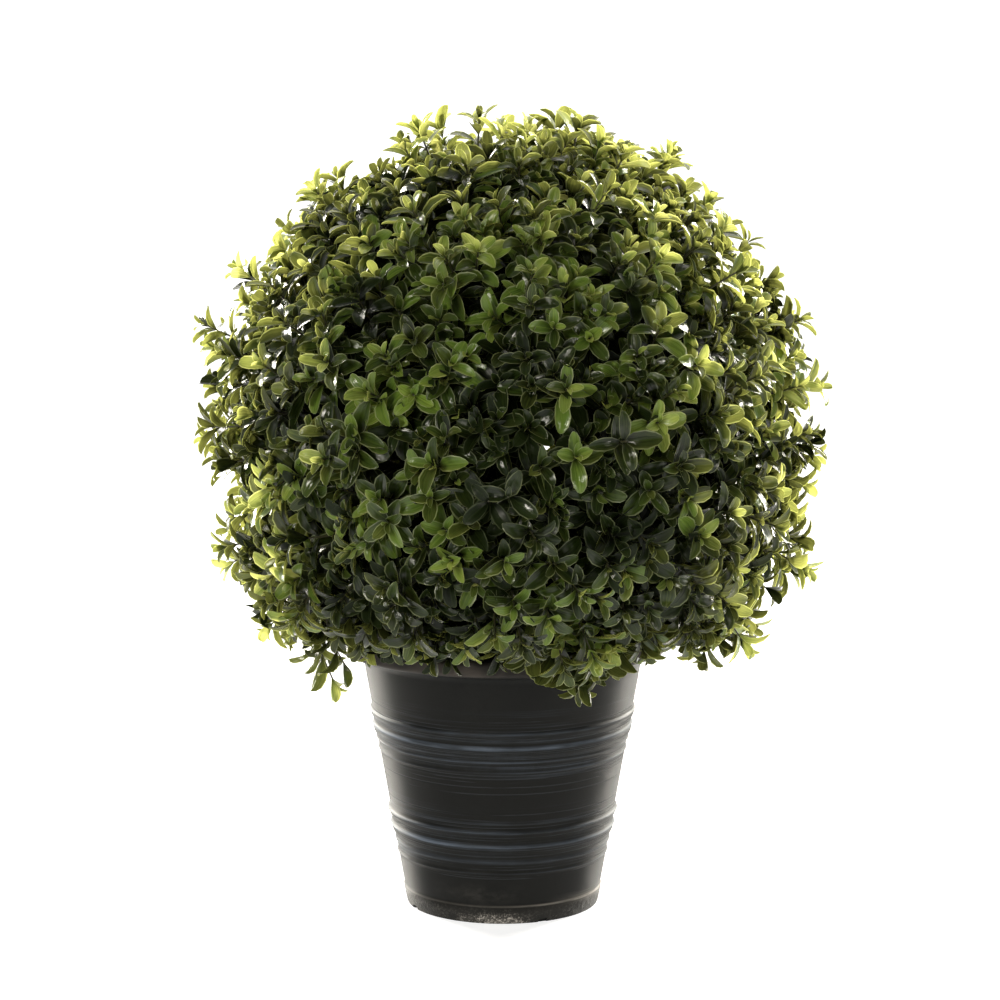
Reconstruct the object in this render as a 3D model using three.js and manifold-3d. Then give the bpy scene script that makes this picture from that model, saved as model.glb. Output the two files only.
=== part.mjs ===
// An artificial box ball in a pot, in millimetres, +Z up, standing on the ground at the origin.
// A tapered pot with two moulded belts and a flared lip holds a ballast fill. A short leaning stem rises from the
// fill into the hollow of the ball and forks into boughs. The ball is one clipped mass of foliage: a hollow core,
// open below round the stem, with a socket stub for each bough inside and leafy twigs standing out all round.
import * as THREE from "three";
import { mergeVertices } from "three/addons/utils/BufferGeometryUtils.js";
import Module from "manifold-3d";

const wasm = await Module();
wasm.setup();

const GAP = 0.3; // the clearance that touching pieces keep

// Pot
const FOOT_RADIUS = 63.5;
const FOOT_EDGE = 1.6; // the rounding under the foot
const FOOT_BAND_TOP = 12;
const FOOT_BAND_PROUD = 0.7;
const WALL_BASE = 14.5;
const WALL_BASE_RADIUS = 65.3;
const WALL_SLOPE = 0.1755; // radius gained for each millimetre of height
const WALL_TOP = 166;
const WALL_THICKNESS = 2.6;
const FLOOR_TOP = 5;
const BELT_BASES = [43, 109.5];
// The two rounded crests of a belt: height above its base, and how far it stands out of the wall.
const BELT_SHAPE = [
  [0, 0],
  [6, 1.1],
  [10, 1.7],
  [14, 0.7],
  [19, 1.6],
  [22, 1.3],
  [24, 0],
];
const LIP_RADIUS = 111;
const LIP_BOTTOM = 173.5;
const LIP_TOP = 184;
const POT_SIDES = 48;
const NOTCH_ANGLES = [-65.4, 24.6, 114.6, 204.6]; // degrees round from the front, drain notches under the foot
const NOTCH_WIDTH = 7;
const NOTCH_HEIGHT = 2.6;
const NOTCH_INNER_RADIUS = 44;

// Fill
const FILL_TOP = 166;
const FILL_CROWN = 4; // how much the fill's middle stands above its edge

// Stem and boughs
const STEM_TOP = 321;
const STEM_FLARE_RADIUS = 13;
const STEM_FOOT_RADIUS = 9;
const STEM_TIP_RADIUS = 5.4;
const STEM_FLARE_HEIGHT = 16;
const STEM_LEAN = 5; // the tip's offset towards +X
const STEM_BOW = 3; // how far its middle bows towards -Y
const STEM_SIDES = 10;
const STEM_STEPS = 12;
const BOUGH_FOOT_RADIUS = 3.3;
const BOUGH_TIP_RADIUS = 2.4;
const BOUGH_SIDES = 6;
const BOUGH_STEPS = 4;
const BOUGH_REACH = 84; // from the ball's centre to a bough's tip
const BOUGH_STRAIGHT_END = 18; // the stretch at its tip that points out along its spray head
const BOUGH_STEP_HEIGHT = 4.6; // between neighbours up the stem

// Rings of boughs: the elevation that their tips point to, the first one's turn, and the lowest foot on the stem.
const BOUGH_RINGS = [
  { name: "top", count: 1, elevation: 90, turn: 0, foot: 0 },
  { name: "upper", count: 4, elevation: 46, turn: 22, foot: 292 },
  { name: "middle", count: 5, elevation: 10, turn: 4, foot: 262 },
  { name: "lower", count: 5, elevation: -25, turn: 40, foot: 234 },
];

// Ball
const BALL_CENTRE = new THREE.Vector3(5, 0, 326);
const BALL_RADIUS = 198;
const BALL_FULLER_BELOW = 11; // the ball is this much wider at its lower shoulder
const FULLEST_ELEVATION = -38;
const FULLER_SPREAD = 24; // degrees
const TIP_PROUD = 16; // the longest sprigs stand this far out of the clipped outline
const PROUD_SHARE = 0.3; // the share of the twigs that do

// Core
const CORE_DEPTH = 48; // how far it lies under the clipped outline
const CORE_DEPTH_AT_POT = 30; // the same where it comes down on the pot's lip
const CORE_DEEPENS = [-50, -26]; // degrees of elevation between the two
const CORE_UNEVEN = 0.05;
const CORE_INNER_RADIUS = 97;
const CORE_MOUTH_RADIUS = 76;
const CORE_MOUTH_DEPTH = 70;
const STUB_LENGTH = 24;

// Twigs and leaves
const TWIG_COUNT = 88;
const LOWEST_TWIG = -60; // degrees, where the twigs would meet the pot
const TWIG_FOOT_RADIUS = 2.6;
const TWIG_TIP_RADIUS = 1.7;
const TWIG_SUNK = 14; // how deep a twig starts under the core's surface
const TWIG_SPREAD = 0.22;
const SHORTEST_TWIG = 26;
const OUT_OVER_LIP = [-26, -58]; // degrees of elevation over which the twigs turn level to clear the lip
const TIP_LEAF_RISE = 0.68; // how far the tip's leaves go on past the twig, as a share of their length
const LEAF_PAIRS = 3;
const PAIR_STEP = 11; // between one pair of leaves and the next
const TIP_OPENING = 0.62; // radians from the twig's line to the tip's leaves
const OPENING_STEP = 0.36; // how much wider each lower pair opens
const LEAF_LENGTH = 44;
const LEAF_WIDTH = 25;
const LEAF_KEEL = 2.4; // how deep the keel stands under the blade
const LEAF_DROOP = 0.16; // how far the tip bends down, as a share of the length
const LEAF_WIDEST = 0.58; // share of the length from its foot
const LEAF_SUNK = 0.1; // how far past the middle of its twig a leaf starts
const LEAF_TRIES = 11;
const FREE_SHARE = 0.82; // the outer share of a leaf that touches nothing else
const NEAR_TWIGS = 0.75; // twigs whose directions are closer than this, in radians, can touch
const STRAY_ROOM = 0.17; // radians that a clipped twig keeps from a stray or hanging one
const POT_CLEARANCE = 1.5;
const MEETING = 0.01; // cubic millimetres that two solids may share before they count as crossing
const ROUNDING = 1e-3; // corners nearer than this are welded
const FINE_ROUNDING = 1e-4;
const SEED = 20;

// The sprigs that stand furthest out: where each leaf tip ends, by degrees and by millimetres from the ball's centre.
const STRAYS = [
  { elevation: 84, turn: 180, reach: 207 },
  { elevation: 54, turn: 178, reach: 204 },
  { elevation: 18, turn: 2, reach: 211 },
  { elevation: -3, turn: -4, reach: 209 },
  { elevation: -30, turn: 3, reach: 219 },
  { elevation: -41, turn: -6, reach: 224 },
  { elevation: -4, turn: 183, reach: 211 },
  { elevation: -23, turn: 176, reach: 215 },
  { elevation: -41, turn: 186, reach: 224 },
];
// The sprigs that hang over the pot's lip, by the turn, the distance from the pot's axis and the height of their tips.
const HANGING = [
  { turn: 187, radius: 128, height: 142 },
  { turn: -67, radius: 127, height: 172 },
  { turn: -20, radius: 140, height: 168 },
  { turn: 60, radius: 130, height: 166 },
  { turn: 130, radius: 134, height: 160 },
];
const HANGING_FROM = { radius: 104, height: 232 };
const HANGING_BELLY = { radius: 150, height: 214 };

const COLOURS = {
  pot: { color: 0x2c2d2b, roughness: 0.55, metalness: 0 },
  fill: { color: 0x2a2119, roughness: 0.95, metalness: 0 },
  bark: { color: 0x3b3022, roughness: 0.85, metalness: 0 },
  leaf: { color: 0x42602a, roughness: 0.4, metalness: 0 },
};

// Numbers from 0 to 1 that are the same on every run.
function seeded(seed) {
  let state = seed >>> 0;
  return () => {
    state = (state + 0x6d2b79f5) >>> 0;
    let t = Math.imul(state ^ (state >>> 15), 1 | state);
    t = (t + Math.imul(t ^ (t >>> 7), 61 | t)) ^ t;
    return ((t ^ (t >>> 14)) >>> 0) / 4294967296;
  };
}

function between(random, low, high) {
  return low + (high - low) * random();
}

function solidFrom(geometry, weld = 1e-4) {
  const bare = geometry.index ? geometry.toNonIndexed() : geometry.clone();
  for (const name of Object.keys(bare.attributes)) {
    if (name !== "position") bare.deleteAttribute(name);
  }
  const merged = mergeVertices(bare, weld);
  return new wasm.Manifold(
    new wasm.Mesh({
      numProp: 3,
      vertProperties: merged.attributes.position.array,
      triVerts: new Uint32Array(merged.index.array),
    }),
  );
}

function geometryFrom(solid) {
  const mesh = solid.getMesh();
  return new THREE.BufferGeometry()
    .setAttribute("position", new THREE.BufferAttribute(new Float32Array(mesh.vertProperties), 3))
    .setIndex(new THREE.BufferAttribute(new Uint32Array(mesh.triVerts), 1));
}

// The largest outer body of a solid: scraps and sealed hollows are left behind.
function wholeBody(solid) {
  return solid.decompose().reduce((best, body) => (body.volume() > best.volume() ? body : best));
}

function named(name, geometry, finish) {
  geometry.computeVertexNormals();
  const mesh = new THREE.Mesh(geometry, new THREE.MeshStandardMaterial(COLOURS[finish]));
  mesh.name = name;
  return mesh;
}

function direction(elevation, azimuth) {
  const e = THREE.MathUtils.degToRad(elevation);
  const a = THREE.MathUtils.degToRad(azimuth);
  return new THREE.Vector3(Math.cos(e) * Math.cos(a), Math.cos(e) * Math.sin(a), Math.sin(e));
}

// A closed lathe about Z. The profile's points are [radius, height], anticlockwise, and it starts and ends on the
// axis or closes on itself.
function turned(profile, sides) {
  const points = profile.map(([radius, height]) => new THREE.Vector2(radius, height));
  return new THREE.LatheGeometry(points, sides).rotateX(Math.PI / 2);
}

function wallRadius(height) {
  return WALL_BASE_RADIUS + WALL_SLOPE * (height - WALL_BASE);
}

function beltProfile(base) {
  return BELT_SHAPE.map(([rise, proud]) => [wallRadius(base + rise) + proud, base + rise]);
}

// The pot's outside from the middle of its foot up to the outer edge of the lip.
function outerProfile() {
  return [
    [0, 0],
    [FOOT_RADIUS - FOOT_EDGE, 0],
    [FOOT_RADIUS, FOOT_EDGE],
    [wallRadius(FOOT_BAND_TOP) + FOOT_BAND_PROUD, FOOT_BAND_TOP],
    [WALL_BASE_RADIUS, WALL_BASE],
    ...BELT_BASES.flatMap(beltProfile),
    [wallRadius(WALL_TOP), WALL_TOP],
    [wallRadius(WALL_TOP) + 2.2, WALL_TOP + 3.2],
    [wallRadius(WALL_TOP) + 8, LIP_BOTTOM - 1.6],
    [LIP_RADIUS - 2.4, LIP_BOTTOM],
    [LIP_RADIUS - 0.5, LIP_BOTTOM + 1.6],
    [LIP_RADIUS, LIP_BOTTOM + 4.5],
    [LIP_RADIUS - 0.8, LIP_TOP - 1.8],
    [LIP_RADIUS - 3.4, LIP_TOP],
  ];
}

// The pot's inside from the lip's top down to the middle of the floor.
function innerProfile() {
  const inside = (height) => wallRadius(height) - WALL_THICKNESS;
  return [
    [LIP_RADIUS - 7, LIP_TOP - 0.6],
    [inside(WALL_TOP) + 6, LIP_TOP - 5.5],
    [inside(WALL_TOP) + 1.4, LIP_TOP - 11],
    [inside(WALL_TOP), WALL_TOP],
    [inside(FLOOR_TOP), FLOOR_TOP],
    [0, FLOOR_TOP],
  ];
}

function drainNotch(angle) {
  const length = FOOT_RADIUS - NOTCH_INNER_RADIUS + 10;
  return new THREE.BoxGeometry(NOTCH_WIDTH, length, 2 * NOTCH_HEIGHT)
    .translate(0, -(NOTCH_INNER_RADIUS + length / 2), 0)
    .rotateZ(THREE.MathUtils.degToRad(angle));
}

function makePot() {
  const shell = solidFrom(turned([...outerProfile(), ...innerProfile()], POT_SIDES));
  const notched = NOTCH_ANGLES.reduce((solid, angle) => solid.subtract(solidFrom(drainNotch(angle))), shell);
  return named("pot", geometryFrom(notched), "pot");
}

// The ballast that fills the pot, a little clear of its wall and floor.
function makeFill() {
  const inside = (height) => wallRadius(height) - WALL_THICKNESS - GAP - 0.05;
  const profile = [
    [0, FLOOR_TOP + GAP],
    [inside(FLOOR_TOP), FLOOR_TOP + GAP],
    [inside(FILL_TOP) - 0.2, FILL_TOP],
    [inside(FILL_TOP) * 0.72, FILL_TOP + FILL_CROWN * 0.7],
    [STEM_FLARE_RADIUS + 4, FILL_TOP + FILL_CROWN],
    [0, FILL_TOP + FILL_CROWN],
  ];
  return named("pot_fill", turned(profile, POT_SIDES), "fill");
}

// A closed tapering limb along a curve, with a flat cut at each end.
function limb(curve, radiusAt, sides, steps) {
  const frames = curve.computeFrenetFrames(steps, false);
  const positions = [];
  const indices = [];
  for (let i = 0; i <= steps; i += 1) {
    const centre = curve.getPointAt(i / steps);
    for (let k = 0; k < sides; k += 1) {
      const angle = (2 * Math.PI * k) / sides;
      const point = centre
        .clone()
        .addScaledVector(frames.normals[i], radiusAt(i / steps) * Math.cos(angle))
        .addScaledVector(frames.binormals[i], radiusAt(i / steps) * Math.sin(angle));
      positions.push(point.x, point.y, point.z);
    }
  }
  for (let i = 0; i < steps; i += 1) {
    for (let k = 0; k < sides; k += 1) {
      const a = i * sides + k;
      const b = i * sides + ((k + 1) % sides);
      indices.push(a, b, b + sides, a, b + sides, a + sides);
    }
  }
  for (let k = 1; k < sides - 1; k += 1) {
    indices.push(0, k + 1, k);
    indices.push(steps * sides, steps * sides + k, steps * sides + k + 1);
  }
  return new THREE.BufferGeometry()
    .setAttribute("position", new THREE.BufferAttribute(new Float32Array(positions), 3))
    .setIndex(indices);
}

// Upright where it stands on the fill, then bowed towards the front and leaning to its tip.
function stemCurve() {
  const foot = FILL_TOP + FILL_CROWN + GAP;
  const third = (STEM_TOP - foot) / 3;
  return new THREE.CubicBezierCurve3(
    new THREE.Vector3(0, 0, foot),
    new THREE.Vector3(0, 0, foot + third),
    new THREE.Vector3(STEM_LEAN * 0.5, -2 * STEM_BOW, STEM_TOP - third),
    new THREE.Vector3(STEM_LEAN, 0, STEM_TOP),
  );
}

function stemRadius(share) {
  const height = share * (STEM_TOP - FILL_TOP - FILL_CROWN);
  const flare = Math.max(0, 1 - height / STEM_FLARE_HEIGHT) ** 2;
  const taper = THREE.MathUtils.lerp(STEM_FOOT_RADIUS, STEM_TIP_RADIUS, share);
  return taper + (STEM_FLARE_RADIUS - STEM_FOOT_RADIUS) * flare;
}

function makeStem() {
  return named("stem", limb(stemCurve(), stemRadius, STEM_SIDES, STEM_STEPS), "bark");
}

// Every bough: its name, the direction of its tip, and where it leaves the stem.
function boughList() {
  return BOUGH_RINGS.flatMap((ring) =>
    Array.from({ length: ring.count }, (_, i) => {
      const place = (i % 2) * Math.ceil(ring.count / 2) + Math.floor(i / 2);
      return {
        name: ring.count === 1 ? `bough_${ring.name}` : `bough_${ring.name}_${i + 1}`,
        out: direction(ring.elevation, ring.turn + (360 * i) / ring.count),
        footHeight: ring.foot + place * BOUGH_STEP_HEIGHT,
        onTip: ring.foot === 0,
      };
    }),
  );
}

function stemPointAt(height) {
  const curve = stemCurve();
  let low = 0;
  let high = 1;
  for (let i = 0; i < 30; i += 1) {
    const middle = (low + high) / 2;
    if (curve.getPointAt(middle).z < height) low = middle;
    else high = middle;
  }
  return curve.getPointAt(low);
}

// A bough starts inside the stem, or goes on from the stem's tip, and ends pointing straight out of the ball.
function boughCurve(bough) {
  const tip = BALL_CENTRE.clone().addScaledVector(bough.out, BOUGH_REACH);
  const bend = tip.clone().addScaledVector(bough.out, -BOUGH_STRAIGHT_END);
  if (!bough.onTip) return new THREE.QuadraticBezierCurve3(stemPointAt(bough.footHeight), bend, tip);
  const stem = stemCurve();
  const onward = stem.getTangentAt(1);
  const start = stem.getPointAt(1).addScaledVector(onward, GAP);
  return new THREE.CubicBezierCurve3(start, start.clone().addScaledVector(onward, BOUGH_STRAIGHT_END), bend, tip);
}

function boughRadius(share) {
  return THREE.MathUtils.lerp(BOUGH_FOOT_RADIUS, BOUGH_TIP_RADIUS, share);
}

// A bough's foot is cut to the stem's own surface, a gap clear of it.
function makeBough(bough, stemAndGap) {
  const whole = solidFrom(limb(boughCurve(bough), boughRadius, BOUGH_SIDES, BOUGH_STEPS));
  const seated = bough.onTip ? whole : wholeBody(whole.subtract(stemAndGap));
  return named(bough.name, geometryFrom(seated), "bark");
}

// Two unit vectors at right angles to a direction and to each other.
function acrossFrom(out) {
  const helper = Math.abs(out.z) < 0.9 ? new THREE.Vector3(0, 0, 1) : new THREE.Vector3(1, 0, 0);
  const side = new THREE.Vector3().crossVectors(helper, out).normalize();
  return [side, new THREE.Vector3().crossVectors(out, side)];
}

// A ball round the ball's centre with its own reach in each direction, moved in and out a little by the seed.
function unevenBall(reachOf, detail, uneven, random) {
  const ball = new THREE.IcosahedronGeometry(1, detail).deleteAttribute("normal").deleteAttribute("uv");
  const welded = mergeVertices(ball);
  const positions = welded.getAttribute("position");
  for (let i = 0; i < positions.count; i += 1) {
    const out = new THREE.Vector3().fromBufferAttribute(positions, i).normalize();
    const point = BALL_CENTRE.clone().addScaledVector(out, reachOf(out) * (1 + uneven * (random() - 0.5)));
    positions.setXYZ(i, point.x, point.y, point.z);
  }
  return welded;
}

// The hollow core, open below round the stem, with a stub inside it in line with each bough's tip.
function makeCore(boughs, random) {
  const outer = solidFrom(unevenBall(coreReach, 3, CORE_UNEVEN, random));
  const inner = solidFrom(unevenBall(() => CORE_INNER_RADIUS, 2, 0, random));
  const lowest = BALL_CENTRE.z - BALL_RADIUS;
  const mouth = turned(
    [
      [0, lowest],
      [CORE_MOUTH_RADIUS, lowest],
      [CORE_MOUTH_RADIUS, BALL_CENTRE.z - CORE_MOUTH_DEPTH],
      [0, BALL_CENTRE.z - CORE_MOUTH_DEPTH * 0.6],
    ],
    24,
  );
  const shell = outer.subtract(inner).subtract(solidFrom(mouth)).subtract(potSpace);
  return boughs.reduce((core, bough) => core.add(makeStub(bough)), shell);
}

// The stretch from a gap past a bough's tip into the core.
function makeStub(bough) {
  const from = BALL_CENTRE.clone().addScaledVector(bough.out, BOUGH_REACH + GAP);
  const to = from.clone().addScaledVector(bough.out, STUB_LENGTH);
  return solidFrom(limb(new THREE.LineCurve3(from, to), () => BOUGH_TIP_RADIUS, BOUGH_SIDES, 1));
}

function elevationOf(out) {
  return THREE.MathUtils.radToDeg(Math.asin(THREE.MathUtils.clamp(out.z, -1, 1)));
}

// How far the clipped ball reaches in a direction.
function clippedReach(out) {
  return BALL_RADIUS + BALL_FULLER_BELOW * Math.exp(-(((elevationOf(out) - FULLEST_ELEVATION) / FULLER_SPREAD) ** 2));
}

function coreReach(out) {
  const up = THREE.MathUtils.smoothstep(elevationOf(out), ...CORE_DEEPENS);
  return clippedReach(out) - THREE.MathUtils.lerp(CORE_DEPTH_AT_POT, CORE_DEPTH, up);
}

// True if a geometry is inside the ball, but for the stretch given, and clear of the pot.
function inOwnSpace(geometry, proud) {
  const inBall = (point) => {
    const away = point.clone().sub(BALL_CENTRE);
    return away.length() < clippedReach(away.clone().normalize()) + proud;
  };
  return cornersOf(geometry).every(inBall) && potSpace.intersect(solidFrom(geometry)).isEmpty();
}

// The pot's whole outline with its mouth closed over, and a clearance all round.
function makePotSpace() {
  const profile = [
    [0, -1],
    [FOOT_RADIUS + POT_CLEARANCE, -1],
    [wallRadius(WALL_TOP) + 3 + POT_CLEARANCE, WALL_TOP],
    [LIP_RADIUS + POT_CLEARANCE, LIP_BOTTOM - POT_CLEARANCE],
    [LIP_RADIUS + POT_CLEARANCE, LIP_TOP + POT_CLEARANCE],
    [0, LIP_TOP + POT_CLEARANCE],
  ];
  return solidFrom(turned(profile, POT_SIDES));
}

const potSpace = makePotSpace();

// A leaf blade of six faces, from its foot at the origin along +X, its upper side towards +Z. The upper side bends
// down across the widest line, and the underside has a keel.
function leafGeometry(length, width) {
  const widest = LEAF_WIDEST * length;
  const points = [
    [0, 0, 0],
    [length, 0, -LEAF_DROOP * length],
    [widest, width / 2, 0],
    [widest, -width / 2, 0],
    [widest * 0.9, 0, -LEAF_KEEL],
  ].flat();
  const faces = [0, 3, 2, 1, 2, 3, 0, 2, 4, 0, 4, 3, 1, 4, 2, 1, 3, 4];
  return new THREE.BufferGeometry()
    .setAttribute("position", new THREE.BufferAttribute(new Float32Array(points), 3))
    .setIndex(faces);
}

// A leaf placed with its foot sunk in the twig at a point, opening from the twig's line by an angle.
function placedLeaf(foot, along, turn, opening, length, width) {
  const [side, up] = acrossFrom(along);
  const outward = side.clone().multiplyScalar(Math.cos(turn)).addScaledVector(up, Math.sin(turn));
  const line = along.clone().multiplyScalar(Math.cos(opening)).addScaledVector(outward, Math.sin(opening));
  const face = along.clone().multiplyScalar(Math.sin(opening)).addScaledVector(outward, -Math.cos(opening));
  const across = new THREE.Vector3().crossVectors(face, line);
  const start = foot.clone().addScaledVector(outward, -LEAF_SUNK);
  return leafGeometry(length, width).applyMatrix4(new THREE.Matrix4().makeBasis(line, across, face).setPosition(start));
}

// Shrinks a placed leaf towards its tip, so that what is left is clear of the twig it stands on.
function pastFoot(leaf) {
  const tip = cornersOf(leaf)[1];
  return new THREE.Matrix4()
    .makeTranslation(tip.x, tip.y, tip.z)
    .scale(new THREE.Vector3(FREE_SHARE, FREE_SHARE, FREE_SHARE))
    .multiply(new THREE.Matrix4().makeTranslation(-tip.x, -tip.y, -tip.z));
}

function cornersOf(geometry) {
  const positions = geometry.getAttribute("position");
  return Array.from({ length: positions.count }, (_, i) => new THREE.Vector3().fromBufferAttribute(positions, i));
}

// The directions of all twigs, even over the ball down to the pot and varied by the seed.
function twigDirections(random) {
  const golden = 180 * (3 - Math.sqrt(5));
  const lowest = Math.sin(THREE.MathUtils.degToRad(LOWEST_TWIG));
  return Array.from({ length: TWIG_COUNT }, (_, i) => {
    const height = 1 - ((1 - lowest) * (i + 0.5)) / TWIG_COUNT;
    const even = direction(THREE.MathUtils.radToDeg(Math.asin(height)), golden * i);
    const jitter = new THREE.Vector3(random() - 0.5, random() - 0.5, random() - 0.5).multiplyScalar(0.07);
    return even.add(jitter).normalize();
  });
}

// A point at a turn, a distance from the pot's axis and a height.
function roundPot(turn, { radius, height }) {
  const a = THREE.MathUtils.degToRad(turn);
  return new THREE.Vector3(radius * Math.cos(a), radius * Math.sin(a), height);
}

// A twig from under the core's surface to where its last leaves start, and how far it may stand proud.
function clippedTwig(out, random) {
  const lean = new THREE.Vector3(random() - 0.5, random() - 0.5, random() - 0.6).multiplyScalar(TWIG_SPREAD);
  const level = THREE.MathUtils.smoothstep(-elevationOf(out), -OUT_OVER_LIP[0], -OUT_OVER_LIP[1]);
  lean.addScaledVector(new THREE.Vector3(out.x, out.y, -0.4 * out.z), 1.6 * level);
  const proud = random() < PROUD_SHARE ? between(random, 0.4, 1) * TIP_PROUD : 0;
  const depth = coreReach(out) - TWIG_SUNK;
  const leafRise = LEAF_LENGTH * TIP_LEAF_RISE;
  const length = Math.max(SHORTEST_TWIG, clippedReach(out) + proud - leafRise - depth);
  const start = BALL_CENTRE.clone().addScaledVector(out, depth);
  const tip = start.clone().addScaledVector(out.clone().add(lean).normalize(), length);
  return { out, line: new THREE.LineCurve3(start, tip), steps: 1, proud };
}

function strayTwig({ elevation, turn, reach }) {
  const out = direction(elevation, turn);
  const start = BALL_CENTRE.clone().addScaledVector(out, coreReach(out) - TWIG_SUNK);
  const tip = BALL_CENTRE.clone().addScaledVector(out, reach - LEAF_LENGTH * TIP_LEAF_RISE);
  return { out, line: new THREE.LineCurve3(start, tip), steps: 1, proud: reach - clippedReach(out) };
}

function hangingTwig({ turn, radius, height }) {
  const start = roundPot(turn, HANGING_FROM);
  const tip = roundPot(turn, { radius, height: height + LEAF_LENGTH * TIP_LEAF_RISE });
  const line = new THREE.QuadraticBezierCurve3(start, roundPot(turn, HANGING_BELLY), tip);
  return { out: tip.clone().sub(BALL_CENTRE).normalize(), line, steps: 3, proud: TIP_PROUD * 1.5 };
}

// One leaf at a place on a twig, turned and closed up a little at each try until it is clear of all near it.
function growLeaf(foot, along, pair, turn, proud, near, random) {
  const size = between(random, 0.88, 1.08) * (pair === 0 ? 0.9 : 1);
  const opening = TIP_OPENING + pair * OPENING_STEP + between(random, -0.1, 0.1);
  for (let attempt = 0; attempt < LEAF_TRIES; attempt += 1) {
    const swing = (attempt % 2 ? -1 : 1) * Math.ceil(attempt / 2) * 0.25;
    const spread = Math.max(0.25, opening - attempt * 0.05);
    const leaf = placedLeaf(foot, along, turn + swing, spread, LEAF_LENGTH * size, LEAF_WIDTH * size);
    if (!inOwnSpace(leaf, proud)) continue;
    const free = solidFrom(leaf.clone().applyMatrix4(pastFoot(leaf)));
    if (near.every((solid) => solid.intersect(free).volume() < MEETING)) return solidFrom(leaf);
  }
  return null;
}

// One twig with its pairs of leaves, each pair crossing the last, joined on one by one.
function growTwig({ line, steps, proud }, near, random) {
  const firstTurn = between(random, 0, Math.PI);
  const taper = (share) => THREE.MathUtils.lerp(TWIG_FOOT_RADIUS, TWIG_TIP_RADIUS, share);
  const twigGeometry = limb(line, taper, 3, steps);
  if (!inOwnSpace(twigGeometry, proud + 4)) return null;
  let grown = solidFrom(twigGeometry);
  for (let pair = 0; pair < LEAF_PAIRS; pair += 1) {
    const share = 1 - (0.8 + pair * PAIR_STEP) / line.getLength();
    const foot = line.getPointAt(share);
    const along = line.getTangentAt(share);
    for (let hand = 0; hand < 2; hand += 1) {
      const turn = firstTurn + (pair + 2 * hand) * (Math.PI / 2);
      const leaf = growLeaf(foot, along, pair, turn, proud + 4, [...near, grown], random);
      if (leaf) grown = grown.add(leaf);
    }
  }
  return grown;
}

// All leafy twigs over the core, each kept clear of the ones before it.
function growTwigs(core, random) {
  const special = [...STRAYS.map(strayTwig), ...HANGING.map(hangingTwig)];
  const clipped = twigDirections(random).map((out) => clippedTwig(out, random));
  const apart = clipped.filter((twig) => special.every((other) => other.out.angleTo(twig.out) > STRAY_ROOM));
  const grown = [];
  for (const twig of [...special, ...apart]) {
    const near = grown.filter((other) => other.out.angleTo(twig.out) < NEAR_TWIGS).map((other) => other.solid);
    const solid = growTwig(twig, [core, ...near], random);
    if (solid) grown.push({ out: twig.out, solid });
  }
  return grown.map((twig) => twig.solid);
}

// True if every side of a geometry's faces is shared by just two of them once its corners are rounded.
function closedWhenRounded(geometry) {
  const rounded = cornersOf(geometry).map((c) => c.toArray().map((v) => Math.round(v / FINE_ROUNDING)).join());
  const sides = new Map();
  const index = geometry.index.array;
  for (let i = 0; i < index.length; i += 3) {
    const face = [rounded[index[i]], rounded[index[i + 1]], rounded[index[i + 2]]];
    if (new Set(face).size < 3) continue;
    face.forEach((corner, k) => {
      const key = [corner, face[(k + 1) % 3]].sort().join(" ");
      sides.set(key, (sides.get(key) ?? 0) + 1);
    });
  }
  return [...sides.values()].every((count) => count === 2);
}

// The geometry of a solid with its nearly coincident corners welded, or nothing if it doesn't stay closed.
function weldedGeometry(solid) {
  try {
    const welded = solidFrom(geometryFrom(solid), ROUNDING);
    const geometry = geometryFrom(welded);
    return welded.decompose().length === 1 && closedWhenRounded(geometry) ? geometry : null;
  } catch {
    return null;
  }
}

// The whole clipped ball, grown again from the next seed if its cuts don't round well.
function makeBall(boughs) {
  for (let seed = SEED; ; seed += 1) {
    const random = seeded(seed);
    const core = makeCore(boughs, random);
    const ball = wasm.Manifold.union([core, ...growTwigs(core, random)]);
    const geometry = weldedGeometry(wholeBody(ball));
    if (geometry) return named("foliage_ball", geometry, "leaf");
  }
}

function makePlant() {
  const boughs = boughList();
  const stemAndGap = solidFrom(limb(stemCurve(), (share) => stemRadius(share) + GAP, STEM_SIDES, STEM_STEPS));
  const plant = new THREE.Group();
  plant.add(makePot(), makeFill(), makeStem());
  for (const bough of boughs) plant.add(makeBough(bough, stemAndGap));
  plant.add(makeBall(boughs));
  return plant;
}

export default makePlant();
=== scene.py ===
"""An artificial box ball in a pot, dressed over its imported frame. Lengths are metres, angles degrees."""

import math

import bmesh
import bpy
import numpy as np
from mathutils import Matrix, Vector


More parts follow.
